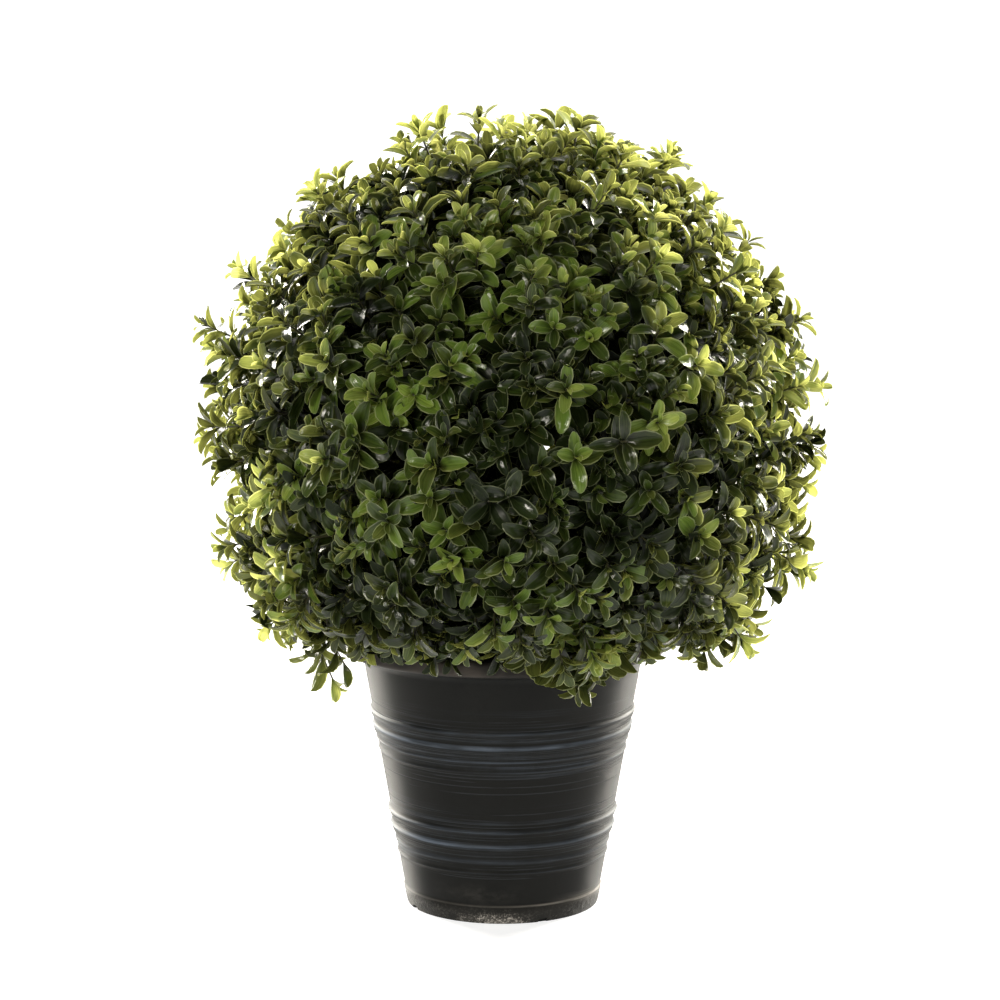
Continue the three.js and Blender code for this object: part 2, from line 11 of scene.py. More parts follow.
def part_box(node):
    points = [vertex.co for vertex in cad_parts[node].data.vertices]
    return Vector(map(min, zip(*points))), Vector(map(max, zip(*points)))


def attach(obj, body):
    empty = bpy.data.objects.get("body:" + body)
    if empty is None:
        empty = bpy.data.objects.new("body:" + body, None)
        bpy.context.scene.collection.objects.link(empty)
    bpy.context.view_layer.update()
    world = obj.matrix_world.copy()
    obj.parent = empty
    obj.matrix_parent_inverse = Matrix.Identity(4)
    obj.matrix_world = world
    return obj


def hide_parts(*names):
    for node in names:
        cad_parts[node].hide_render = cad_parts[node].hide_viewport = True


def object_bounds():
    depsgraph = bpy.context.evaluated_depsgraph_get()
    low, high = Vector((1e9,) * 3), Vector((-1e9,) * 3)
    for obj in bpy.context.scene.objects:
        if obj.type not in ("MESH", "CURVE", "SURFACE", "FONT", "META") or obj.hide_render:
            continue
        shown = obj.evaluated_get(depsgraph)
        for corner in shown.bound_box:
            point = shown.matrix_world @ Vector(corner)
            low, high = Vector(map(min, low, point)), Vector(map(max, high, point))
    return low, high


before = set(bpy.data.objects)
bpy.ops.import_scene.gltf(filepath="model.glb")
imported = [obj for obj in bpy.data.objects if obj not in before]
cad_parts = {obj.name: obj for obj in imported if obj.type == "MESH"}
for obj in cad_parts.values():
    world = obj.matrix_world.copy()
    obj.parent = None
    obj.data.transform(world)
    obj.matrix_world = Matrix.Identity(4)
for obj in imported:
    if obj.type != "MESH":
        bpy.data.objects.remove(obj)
CAD_BOX = [list(corner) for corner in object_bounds()]

MM = 0.001

# Camera: distance in front of the pot, height, tilt down, lens, sensor width and shift sideways
CAMERA_AWAY = 2.5
CAMERA_HEIGHT = 0.698
CAMERA_TILT = 9.73
CAMERA_LENS = 139.46
CAMERA_SENSOR = 36
CAMERA_SHIFTED = -1.7 * MM

# Pot, with its lip's radius and height from the frame
POT_LOW, POT_HIGH = (Vector(corner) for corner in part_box("pot"))
LIP_RADIUS = (POT_HIGH.x - POT_LOW.x) / 2
LIP_TOP = POT_HIGH.z
LIP_BOTTOM = LIP_TOP - 10.5 * MM
LIP_ROUNDING = 3 * MM
LIP_FLARE = 3 * MM  # how far out of the wall the flare under the lip is drawn
LIP_ROLL_START = 4 * MM  # how far inside the lip's edge its top starts to roll in
LIP_ROLL = (2 * MM, 1 * MM)  # how far the roll is drawn out of the inner wall and under the lip's top
LIP_STEPS = 8
LIP_EDGE_STEPS = 6
FOOT_RADIUS = 63.5 * MM
FOOT_ROUNDING = ((-1.6 * MM, 0), (-0.5 * MM, 0.4 * MM), (0, 1.6 * MM), (1.0 * MM, 6 * MM))  # out, height
FOOT_BAND_TOP = 12 * MM
FOOT_BAND_EDGE = ((0.7 * MM, 0), (0.3 * MM, 1 * MM))  # out from the wall, height above the band
WALL_BASE = 14.5 * MM
WALL_BASE_RADIUS = 65.3 * MM
WALL_SLOPE = 0.1755
WALL_TOP = 166 * MM
WALL_THICKNESS = 2.6 * MM
FLOOR_TOP = 5 * MM
BELT_BASES = (43 * MM, 109.5 * MM)
BELT_CRESTS = ((9.5 * MM, 4.2 * MM, 1.55 * MM), (20 * MM, 3.4 * MM, 1.5 * MM))  # rise, spread, how far out
BEADS = (
    # height in millimetres, how strongly its crest is brushed, half the brushed width in millimetres
    (35.5, 0.28, 0.8), (43.4, 0.5, 2.4), (54.4, 1.2, 1.8), (64.3, 0.22, 2.0),
    (105.4, 0.25, 0.8), (112.6, 0.36, 1.2), (122.0, 1.1, 2.0), (131.8, 0.38, 1.5),
)
BEAD_PROUD = 0.7 * MM
BEAD_SPREAD = 0.95 * MM
BEADS_CLEARED = 2.5 * MM  # how far leaves stay off the plain wall, so that they clear belts and beads
HAZES = ((40, 4), (48, 5), (60, 4), (108.5, 4), (117, 5), (128, 3))  # dull zones: height, half width, in mm
SCRATCH_HEIGHTS = (
    # fine grooves round the belts, in millimetres
    31.8, 33.2, 38.0, 40.1, 47.2, 50.3, 51.9, 58.6, 60.4, 63.2, 67.2, 69.4, 72.1, 76.3, 90.5, 95.3, 98.7,
    101.0, 103.2, 109.3, 115.9, 118.3, 119.4, 126.4, 128.6, 130.7, 133.6, 136.0, 139.9,
)
SCRATCH_SPREAD = 0.55 * MM
POT_SIDES = 160
WALL_STEP = 0.75 * MM
NOTCH_TURNS = (-65.4, 24.6, 114.6, 204.6)
NOTCH_SIZE = (7 * MM, 5 * MM, 5.2 * MM)
NOTCH_ROUNDING = 1.2 * MM

# Fill
FILL_LOW, FILL_HIGH = (Vector(corner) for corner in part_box("pot_fill"))
FILL_GRAIN = 2.2 * MM
FILL_CROWN = 4 * MM
FILL_CLEARANCE = 0.4 * MM
FILL_SIDES = 64
FILL_RINGS = 10
FILL_RING_WIDTH = 0.08  # of the fill's radius

# Stem and boughs, by the source's rule
STEM_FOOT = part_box("stem")[0][2]
STEM_TOP = 321 * MM
STEM_RADII = (9 * MM, 5.4 * MM)
STEM_FLARE = 4 * MM
STEM_FLARE_HEIGHT = 16 * MM
STEM_LEAN = 5 * MM
STEM_BOW = 3 * MM
BOUGH_RADII = (3.3 * MM, 2.4 * MM)
BOUGH_REACH = 84 * MM
BOUGH_STRAIGHT_END = 18 * MM
BOUGH_STEP_HEIGHT = 4.6 * MM
STEM_STEPS = 40
BOUGH_STEPS = 22
LIMB_SIDES = 12
BARK_GRAIN = 6 * MM
BARK_RELIEF = 0.9 * MM
BOUGH_RINGS = (
    # count, elevation, first turn, lowest foot on the stem
    (1, 90, 0, 0),
    (4, 46, 22, 292 * MM),
    (5, 10, 4, 262 * MM),
    (5, -25, 40, 234 * MM),
)

# Ball, by the source's rule. The tables of sprigs are in millimetres.
BALL_CENTRE = Vector((5 * MM, 0, 326 * MM))
BALL_RADIUS = 189 * MM
BALL_FULLER_BELOW = 11 * MM
FULLEST_ELEVATION = -38
FULLER_SPREAD = 24
STRAYS = (
    # elevation, turn, reach of the leaf tips
    (84, 180, 207), (54, 178, 204), (18, 2, 211), (-3, -4, 209), (-30, 3, 219),
    (-41, -6, 224), (-4, 183, 211), (-23, 176, 215), (-41, 186, 224),
    (36, 2, 204), (40, 178, 203),
)
HANGING = (
    # turn, distance from the pot's axis and height of the tips, turns of the shorter twigs beside it
    (204, 121, 150, (-9, 8)), (-67, 127, 162, (-15, -9, -4, 5, 10)), (-20, 140, 168, (-9, 8)),
    (60, 130, 166, (-9, 8)), (130, 134, 160, (-9, 8)),
)
HANGING_FROM = (104, 232)
HANGING_BELLY = (150, 214)
HANGING_TIP = (-2, 7)  # how far a twig ends inside and over the tips of its leaves
HANGING_BESIDE = 7  # how much higher the shorter twigs end
STRAY_TINT = 0.62
HANGING_TINTS = (0.66, 0.36, 0.3)  # at the sides of the ball, lighter as painted light where light from behind comes through; at its front and back, darker as painted shade; of the shorter twigs

# Branches, twigs and leaves
BRANCH_COUNT = 150
BRANCH_REACH = 128 * MM
BRANCH_REACH_VARIES = 8  # in millimetres
BRANCH_BEND = 9  # how far it bows out along its bough, in millimetres
BRANCH_BEND_AT = 0.45  # share of its length
BRANCH_ROOTED = 3  # how far it starts inside its bough, in millimetres
BRANCH_RADII = (1.9 * MM, 1.2 * MM)
BRANCH_LONGER = 5 * MM  # spread of how much further one branch's twigs reach than another's
BRANCH_LIGHTER = 0.13  # spread of how much lighter one branch's leaves are
LOWEST_TWIG = -66
TWIG_RADII = (1.0 * MM, 0.55 * MM)
INNER_TWIG_COUNT = 430
INNER_START = (0.3, 0.8)  # where along its branch an inner twig starts
INNER_REACH = 150 * MM
INNER_REACH_VARIES = 9  # in millimetres
INNER_BEND = 3  # in millimetres
# inner leaves take darker tints: painted shade inside the ball
INNER_TINT = (-0.35, 0.15)
TWIG_COUNT = 1150
TWIG_START = (0.55, 1.0)  # where along its branch an outer twig starts
TWIG_BEND = 4  # how far it bows out along its branch, in millimetres
TWIG_LEAN = 7  # how far it leans to any side, in millimetres
GATHERED = 0.2  # how far twigs gather towards their branch
LIFT = 8 * MM  # how far twigs turn up towards the light
LIFT_FROM = -35  # elevation above which they turn up
LIFT_LOWEST = -0.6  # of the lift, on the lowest twigs, which hang
TIP_UNDER = 15.5 * MM  # how far a twig ends under the outline that its leaves reach
REACH_SPREAD = 6 * MM
PROUD_SHARE = 0.42
PROUD_LEAST = 0.3  # of how far the furthest stand out
TIP_PROUD = 17 * MM
STANDS_OUT = 0.6  # of TIP_PROUD, past which a sprig is longer and lighter
PROUD_LIGHTER = 0.14  # how much lighter the sprigs that stand out are coloured: fresher growth, and painted light where they catch the light from behind
PROUDER_SHARE_BELOW = 0.25
PROUDER_BELOW = 6 * MM
NEAR_LIP = 24 * MM  # height over the lip under which a twig is turned level
LIP_TIP_OUT = 14  # how far past the lip its tip may lie, in millimetres
LIP_TIP_RISE = (2, 22)  # least and greatest height of its tip over the lip, in millimetres
LIP_ARCH = 16 * MM
SHADE = 0.3  # painted shade: how much darker the leaves on the ball's underside are coloured
SHADE_BELOW = -22
SHADE_SPREAD = 20
LEAF_PAIRS = (
    # from the tip inwards: distance under the tip and leaf length in millimetres, opening from the twig
    (0, 11, 16), (2.3, 16, 31), (6, 20, 41), (11.2, 22.5, 48), (17.5, 22.5, 55), (24.5, 21, 61),
)
LONGER_PAIRS = LEAF_PAIRS + ((31, 19, 65), (38, 17, 68))  # on the sprigs that stand out or hang
LADDERED = 1.35  # how much wider those sprigs' pairs are spaced
SPACING_VARIES = (0.9, 1.15)  # least and greatest, as shares
TWIG_BARE = 0.2  # share of its length next to the branch
PAIR_TURN_VARIES = 0.16  # in radians
OPENING_VARIES = 8
LEAF_LENGTH_VARIES = (0.86, 1.14)  # least and greatest, as shares
LEAF_WIDTH_VARIES = (0.88, 1.14)
FRESH_TINT = 0.6  # above which the pair at a sprig's tip is still small
FRESH_SMALLER = 0.9
LEAF_STALK = 0.4  # in millimetres
LEAF_WIDTH = 0.45  # of its length
LEAF_OUTLINE = (
    # share of the length and of the widest half width: narrow at the stalk, blunt at the end
    (0.0, 0.1), (0.13, 0.38), (0.35, 0.82), (0.6, 1.0), (0.82, 0.86), (0.95, 0.5), (1.0, 0.12),
)
LEAF_SHAPES = (
    # name, rise of each half from the midrib, how far the blade bends back and turns about its midrib,
    # how much of its width it loses towards a sharper tip
    ("cupped_leaf", 0.66, 18, 0, 0.0),
    ("bent_leaf", 0.58, 62, 8, 0.25),
    ("open_leaf", 0.4, 38, -10, 0.0),
    ("folded_leaf", 0.85, 46, 0, 0.25),
    ("turned_leaf", 0.62, 28, 26, 0.1),
    ("pointed_leaf", 0.72, 36, -6, 0.35),
)
LEAF_SHARPENS_AT = 0.4
BOX_MARGIN = 0.2 * MM  # how far every leaf stays inside the solids' box
TINT_VARIES = 0.15  # from leaf to leaf of a sprig
# Each colour and the level above which a leaf takes it: the rest are deep
COLOUR_LEVELS = (("young", 1.8), ("light", 1.2), ("middle", 0.62), ("dark", -0.3))
SEED = 11


def direction(elevation, turn):
    e, a = math.radians(elevation), math.radians(turn)
    return Vector((math.cos(e) * math.cos(a), math.cos(e) * math.sin(a), math.sin(e)))


def elevation_of(out):
    return math.degrees(math.asin(max(-1, min(1, out.z))))


def fullness_below(out):
    """From 0 to 1, how near a direction is to the ball's fullest, low side."""
    off = (elevation_of(out) - FULLEST_ELEVATION) / FULLER_SPREAD
    return math.exp(-off * off)


def clipped_reach(out):
    """How far the clipped ball reaches in a direction."""
    return BALL_RADIUS + BALL_FULLER_BELOW * fullness_below(out)


def wall_radius(z):
    return WALL_BASE_RADIUS + WALL_SLOPE * (z - WALL_BASE)


def bezier(points, share):
    """A point on the curve that a few control points give."""
    points = list(points)
    while len(points) > 1:
        points = [a.lerp(b, share) for a, b in zip(points, points[1:])]
    return points[0]


# Tools


def only(piece):
    bpy.ops.object.select_all(action="DESELECT")
    piece.select_set(True)
    bpy.context.view_layer.objects.active = piece


def apply_all(piece):
    """Applies a piece's modifiers and its place, turn and scale."""
    only(piece)
    for modifier in list(piece.modifiers):
        bpy.ops.object.modifier_apply(modifier=modifier.name)
    bpy.ops.object.transform_apply(location=True, rotation=True, scale=True)


def finish_piece(piece, name, material, replaced=()):
    piece.name = name
    piece.data.name = name
    piece.data.materials.clear()
    piece.data.materials.append(material)
    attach(piece, "root")
    if replaced:
        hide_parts(*replaced)
    return piece


class Value:
    """A shader socket, with arithmetic that adds Math nodes."""

    def __init__(self, shader, socket):
        self.shader = shader
        self.socket = socket

    def maths(self, operation, *others):
        return self.shader.node("ShaderNodeMath", {"operation": operation}, 0, self, *others)

    def __add__(self, other):
        return self.maths("ADD", other)

    def __sub__(self, other):
        return self.maths("SUBTRACT", other)

    def __mul__(self, other):
        return self.maths("MULTIPLY", other)

    def __truediv__(self, other):
        return self.maths("DIVIDE", other)

    def __rsub__(self, other):
        return self.shader.node("ShaderNodeMath", {"operation": "SUBTRACT"}, 0, other, self)

    __radd__ = __add__
    __rmul__ = __mul__

    def clamped(self):
        return self.shader.node("ShaderNodeClamp", {}, 0, self)

    def near(self, place, spread):
        """1 at a place and falling to 0 a spread away from it."""
        return (1 - ((self - place).maths("ABSOLUTE") / spread)).clamped()

    def between(self, low, high):
        """0 below low, 1 above high and smooth between."""
        settings = {"interpolation_type": "SMOOTHSTEP"}
        return self.shader.node("ShaderNodeMapRange", settings, 0, self, low, high)


class Shader:
    """A material under construction."""

    def __init__(self, name):
        self.material = bpy.data.materials.new(name)
        self.material.use_nodes = True
        self.tree = self.material.node_tree
        self.tree.nodes.clear()
        self.output = self.tree.nodes.new("ShaderNodeOutputMaterial")

    def feed(self, socket, value):
        if isinstance(value, Value):
            self.tree.links.new(value.socket, socket)
        else:
            socket.default_value = value

    def node(self, kind, settings, out, *values, **named):
        made = self.tree.nodes.new(kind)
        for key, setting in settings.items():
            setattr(made, key, setting)
        for socket, value in zip(made.inputs, values):
            self.feed(socket, value)
        for key, value in named.items():
            self.feed(made.inputs[key.replace("_", " ")], value)
        return Value(self, made.outputs[out])

    def place(self):
        return self.node("ShaderNodeTexCoord", {}, "Object")

    def uv(self):
        return self.node("ShaderNodeTexCoord", {}, "UV")

    def axes(self, vector):
        split = self.tree.nodes.new("ShaderNodeSeparateXYZ")
        self.feed(split.inputs[0], vector)
        return [Value(self, socket) for socket in split.outputs]

    def stretched(self, vector, scale):
        return self.node("ShaderNodeMapping", {}, 0, vector, Scale=scale)

    def noise(self, vector, scale, detail=3.0, roughness=0.55):
        settings = {"Vector": vector, "Scale": scale, "Detail": detail, "Roughness": roughness}
        return self.node("ShaderNodeTexNoise", {}, "Fac", **settings)

    def mix(self, share, first, second):
        mixer = self.tree.nodes.new("ShaderNodeMix")
        mixer.data_type = "RGBA"
        self.feed(mixer.inputs["Factor"], share)
        for socket, colour in ((mixer.inputs[6], first), (mixer.inputs[7], second)):
            self.feed(socket, colour if isinstance(colour, Value) else (*colour, 1))
        return Value(self, mixer.outputs[2])

    def bump(self, height, distance, strength=1.0):
        return self.node("ShaderNodeBump", {}, 0, Strength=strength, Distance=distance, Height=height)

    def principled(self, **sockets):
        made = self.tree.nodes.new("ShaderNodeBsdfPrincipled")
        for key, value in sockets.items():
            plain_colour = isinstance(value, tuple) and len(value) == 3
            self.feed(made.inputs[key.replace("_", " ")], (*value, 1) if plain_colour else value)
        return Value(self, made.outputs[0])

    def done(self, surface):
        self.tree.links.new(surface.socket, self.output.inputs["Surface"])
        return self.material


# Materials


def charcoal_pot():
    """Charcoal plastic, brushed grey-blue along its beads, scratched round its belts, with dust at its foot
    and painted highlights along the lip's lower edge and the foot band's top edge.
    """
    s = Shader("charcoal_pot")
    place = s.place()
    x, y, z = s.axes(place)
    nothing = z * 0
    crests = (strength * z.near(height * MM, width * MM) for height, strength, width in BEADS)
    beads = sum(crests, start=nothing)
    belts = nothing
    for base in BELT_BASES:
        from_below = z.between(base - 14 * MM, base - 2 * MM)
        belts = belts + from_below * (1 - z.between(base + 26 * MM, base + 42 * MM))
    patches = s.noise(s.stretched(place, (1, 1, 2.5)), 13.0, 3.0).between(0.4, 0.64)
    broken = s.noise(s.stretched(place, (26, 26, 520)), 1.0, 3.0, 0.65).between(0.3, 0.62)
    streaks = s.noise(s.stretched(place, (6, 6, 560)), 1.0, 4.0, 0.7).between(0.5, 0.7)
    skips = s.noise(s.stretched(place, (17, 17, 330)), 1.0, 3.0, 0.6).between(0.42, 0.56)
    grooves = (z.near(height * MM, SCRATCH_SPREAD) for height in SCRATCH_HEIGHTS)
    scratches = sum(grooves, start=nothing) * skips
    rubbed = s.noise(s.stretched(place, (420, 420, 60)), 1.0, 3.0, 0.7).between(0.35, 0.7)
    haze = sum((z.near(height * MM, width * MM) for height, width in HAZES), start=nothing)
    haze = haze * patches * (0.4 + 0.6 * rubbed)
    brushed = beads * (0.35 + 0.75 * patches) * (0.45 + 0.7 * broken)
    brushed = (brushed + belts * streaks * (0.05 + 0.3 * patches) + haze * 0.09).clamped()
    cloud = s.noise(place, 9.0, 4.0)
    charcoal = s.mix(cloud, (0.0036, 0.0040, 0.0038), (0.0074, 0.0075, 0.0066))
    painted = s.mix(brushed * 0.85, charcoal, (0.093, 0.114, 0.147))
    # painted highlight: a warm brown band along the lip's rounded lower edge, where it catches the light
    lip_highlight = z.between(LIP_BOTTOM - 2 * MM, LIP_BOTTOM + 3 * MM) * (0.25 + 0.75 * patches) * 0.7
    with_lip_highlight = s.mix(lip_highlight, painted, (0.072, 0.061, 0.052))
    specks = s.noise(place, 620.0, 4.0, 0.8).between(0.5, 0.6)
    smears = s.noise(s.stretched(place, (1, 1, 1.6)), 70.0, 5.0, 0.65).between(0.38, 0.66)
    forward = x.near(-5 * MM, 27 * MM) * y.between(20 * MM, -40 * MM)
    foot = 1 - z.between(7 * MM, 14 * MM)
    low_foot = 1 - z.between(1 * MM, 9 * MM)
    dust = foot * (0.03 + 0.12 * smears * specks)
    dust = dust + forward * low_foot * (0.4 + smears) * (0.25 + 2.2 * specks)
    away = (x * x + y * y).maths("SQRT")
    dust = dust * away.between(FOOT_RADIUS - 1.6 * MM, FOOT_RADIUS - 0.4 * MM)
    # painted highlight along the top edge of the foot band, brighter towards the right, and a dusty smear
    # above it on the right
    brighter_to_right = x.between(-10 * MM, 50 * MM)
    band_highlight_and_smear = z.near(12.3 * MM, 1.0 * MM) * (0.03 + 0.1 * broken + 0.35 * broken * brighter_to_right)
    band_highlight_and_smear = band_highlight_and_smear + z.near(13 * MM, 5 * MM) * x.between(26 * MM, 60 * MM) * broken * 0.22
    film = z.near(20 * MM, 9 * MM) * x.near(-14 * MM, 34 * MM) * smears * 0.05
    # dust, the dusty film and the painted highlight of the foot band's edge, over the charcoal with its
    # painted lip highlight
    dust_and_highlights = s.mix((dust + band_highlight_and_smear + film).clamped(), with_lip_highlight, (0.34, 0.315, 0.28))
    rough = (0.44 + 0.1 * cloud + 0.1 * brushed + 0.4 * dust).clamped()
    grain = s.noise(place, 1400.0, 2.0) * 0.2 + streaks * belts * 0.5 - scratches * 1.5
    pitted = (s.noise(place, 210.0, 4.0, 0.7) * 5 + s.noise(place, 700.0, 2.0) * 2) * foot
    relief = s.bump(grain + pitted, 0.2 * MM, 0.8)
    shell = s.principled(Base_Color=dust_and_highlights, Roughness=rough, Normal=relief, Specular_IOR_Level=0.1)
    worn = (0.034, 0.037, 0.040)
    dull = s.principled(Base_Color=worn, Roughness=0.9, Normal=relief, Specular_IOR_Level=0.0)
    return s.done(s.node("ShaderNodeMixShader", {}, 0, (scratches * 0.75).clamped(), shell, dull))


def cast_ballast():
    s = Shader("cast_ballast")
    place = s.place()
    lumps = s.noise(place, 140.0, 5.0, 0.7)
    colour = s.mix(lumps, (0.012, 0.009, 0.006), (0.05, 0.035, 0.022))
    return s.done(s.principled(Base_Color=colour, Roughness=0.95, Normal=s.bump(lumps, 1.5 * MM)))


def dark_bark():
    s = Shader("dark_bark")
    place = s.place()
    furrows = s.noise(s.stretched(place, (1, 1, 0.22)), 420.0, 4.0, 0.65)
    colour = s.mix(furrows, (0.018, 0.012, 0.007), (0.085, 0.058, 0.034))
    return s.done(s.principled(Base_Color=colour, Roughness=0.8, Normal=s.bump(furrows, 0.6 * MM)))


def twig_skin():
    s = Shader("twig_skin")
    mottle = s.noise(s.place(), 260.0, 2.0)
    colour = s.mix(mottle, (0.016, 0.014, 0.006), (0.05, 0.05, 0.016))
    return s.done(s.principled(Base_Color=colour, Roughness=0.5))


def leaf_skin(name, blade, rib, edge, roughness, gloss, glow, thinness):
    """Semi-gloss moulded leaf, streaked along its length: darker at its stalk, partly its own colour and
    partly painted shade, and pale at its thin edge and tip with a painted highlight.
    """
    s = Shader(name)
    place = s.place()
    along, across, _ = s.axes(s.uv())
    x, y, z = s.axes(place)
    off_rib = (across - 0.5).maths("ABSOLUTE") * 2
    ribbed = ((1 - off_rib.between(0.03, 0.14)) * 0.7 + along.between(0.35, 1.0) * 0.45).clamped()
    # pale rim along the margin and at the very tip: a painted highlight where the rounded edge catches the
    # light; it also lets more light through
    pale_lit_edge = off_rib.between(0.82, 0.95) * (0.3 + 0.7 * along.between(0.1, 0.7)) + along.between(0.94, 0.99)
    pale_lit_edge = pale_lit_edge.clamped()
    drawn_out = s.node("ShaderNodeCombineXYZ", {}, 0, along * 1.3 + x * 35, across * 12 + y * 35, z * 35)
    streaks = s.noise(drawn_out, 1.0, 2.0, 0.6)
    mottle = s.noise(place, 38.0, 3.0)
    varied = (mottle * 0.5 + streaks * 0.5).between(0.38, 0.62)
    shaded = s.mix(varied, tuple(c * 0.74 for c in blade), tuple(c * 1.5 for c in blade))
    # darker towards the stalk: partly the blade's own darker base, partly painted shade where the leaves
    # crowd at the twig
    from_stalk = along.between(0.0, 0.5)
    shaded = s.mix(from_stalk, tuple(c * 0.3 for c in blade), shaded)
    colour = s.mix(pale_lit_edge, s.mix(ribbed * along.between(0.0, 0.3), shaded, rib), edge)
    grain = s.noise(place, 480.0, 3.0, 0.6)
    surface = s.principled(
        Base_Color=colour,
        Roughness=(roughness + 0.16 * (mottle - 0.5)).clamped(),
        Normal=s.bump(0.5 * grain + 0.8 * streaks + 0.5 * off_rib.between(0.0, 0.2), 0.22 * MM),
        Specular_IOR_Level=gloss,
    )
    through = s.node("ShaderNodeBsdfTranslucent", {}, 0, Color=(*glow, 1))
    share = thinness * (0.3 + 0.8 * from_stalk) * (0.6 + 0.8 * varied) + 0.4 * pale_lit_edge
    return s.done(s.node("ShaderNodeMixShader", {}, 0, share.clamped(), surface, through))


# Pot


def outer_height_steps():
    count = round((WALL_TOP - WALL_BASE) / WALL_STEP)
    return [WALL_BASE + (WALL_TOP - WALL_BASE) * i / count for i in range(count + 1)]


def moulded_radius(z):
    """The wall's radius with the belts' round crests and the fine beads on it."""
    proud = sum(
        out * math.exp(-(((z - base - rise) / spread) ** 2))
        for base in BELT_BASES
        for rise, spread, out in BELT_CRESTS
    )
    beads = sum(
        BEAD_PROUD * math.exp(-(((z - height * MM) / BEAD_SPREAD) ** 2))
        for height, _, _ in BEADS
    )
    return wall_radius(z) + proud + beads


def lip_profile():
    """The flared lip: out from the wall, round its edge and in over the top."""
    under = wall_radius(WALL_TOP)
    inside = under - WALL_THICKNESS
    edge = LIP_RADIUS - LIP_ROUNDING
    flare = [Vector((under, WALL_TOP)), Vector((under + LIP_FLARE, LIP_BOTTOM)), Vector((edge, LIP_BOTTOM))]
    roll = [
        Vector((LIP_RADIUS - LIP_ROLL_START, LIP_TOP)),
        Vector((inside + LIP_ROLL[0], LIP_TOP - LIP_ROLL[1])),
        Vector((inside, WALL_TOP)),
    ]
    turns = [math.pi / 2 * i / LIP_EDGE_STEPS for i in range(LIP_EDGE_STEPS + 1)]
    low_centre = Vector((edge, LIP_BOTTOM + LIP_ROUNDING))
    high_centre = Vector((edge, LIP_TOP - LIP_ROUNDING))
    points = [bezier(flare, i / LIP_STEPS) for i in range(1, LIP_STEPS + 1)]
    points += [low_centre + LIP_ROUNDING * Vector((math.sin(a), -math.cos(a))) for a in turns[1:]]
    points += [high_centre + LIP_ROUNDING * Vector((math.cos(a), math.sin(a))) for a in turns]
    points += [bezier(roll, i / LIP_STEPS) for i in range(LIP_STEPS + 1)]
    return [(point.x, point.y) for point in points]


def pot_profile():
    """Radius and height from under the foot up the outside, over the lip and down to the floor inside."""
    foot = [(FOOT_RADIUS + out, z) for out, z in FOOT_ROUNDING]
    band = [(wall_radius(FOOT_BAND_TOP) + out, FOOT_BAND_TOP + rise) for out, rise in FOOT_BAND_EDGE]
    wall = [(moulded_radius(z), z) for z in outer_height_steps()]
    inside = [(wall_radius(FLOOR_TOP) - WALL_THICKNESS, FLOOR_TOP)]
    return foot + band + wall + lip_profile() + inside


def model_pot():
    """A circle at the foot, extruded ring by ring up the profile, filled at the floor and notched."""
    profile = pot_profile()
    bpy.ops.object.select_all(action="DESELECT")
    bpy.ops.mesh.primitive_circle_add(vertices=POT_SIDES, radius=profile[0][0], fill_type="NGON")
    pot = bpy.context.object
    bpy.ops.object.mode_set(mode="EDIT")
    bpy.ops.mesh.select_mode(type="EDGE")
    bpy.ops.mesh.select_all(action="DESELECT")
    bpy.ops.mesh.select_non_manifold(extend=False)
    for (radius, z), (wider, higher) in zip(profile, profile[1:]):
        bpy.ops.mesh.extrude_region_move(TRANSFORM_OT_translate={"value": (0, 0, higher - z)})
        share = wider / radius
        bpy.ops.transform.resize(value=(share, share, 1), center_override=(0, 0, higher))
    bpy.ops.mesh.edge_face_add()
    bpy.ops.mesh.select_all(action="SELECT")
    bpy.ops.mesh.normals_make_consistent(inside=False)
    bpy.ops.object.mode_set(mode="OBJECT")
    for turn in NOTCH_TURNS:
        cut_notch(pot, turn)
    only(pot)
    bpy.ops.object.shade_smooth_by_angle(angle=math.radians(40))
    return finish_piece(pot, "moulded_pot", charcoal_pot(), ["pot"])


def cut_notch(pot, turn):
    out = direction(0, turn - 90)
    bpy.ops.object.select_all(action="DESELECT")
    bpy.ops.mesh.primitive_cube_add(size=1, location=out * FOOT_RADIUS)
    cutter = bpy.context.object
    cutter.scale = NOTCH_SIZE
    cutter.rotation_euler.z = math.radians(turn)
    bpy.ops.object.transform_apply(location=True, rotation=True, scale=True)
    bevel = cutter.modifiers.new("rounded", "BEVEL")
    bevel.width = NOTCH_ROUNDING
    bevel.segments = 2
    apply_all(cutter)
    only(pot)
    cut = pot.modifiers.new("notch", "BOOLEAN")
    cut.operation = "DIFFERENCE"
    cut.object = cutter
    bpy.ops.object.modifier_apply(modifier=cut.name)
    bpy.data.objects.remove(cutter)


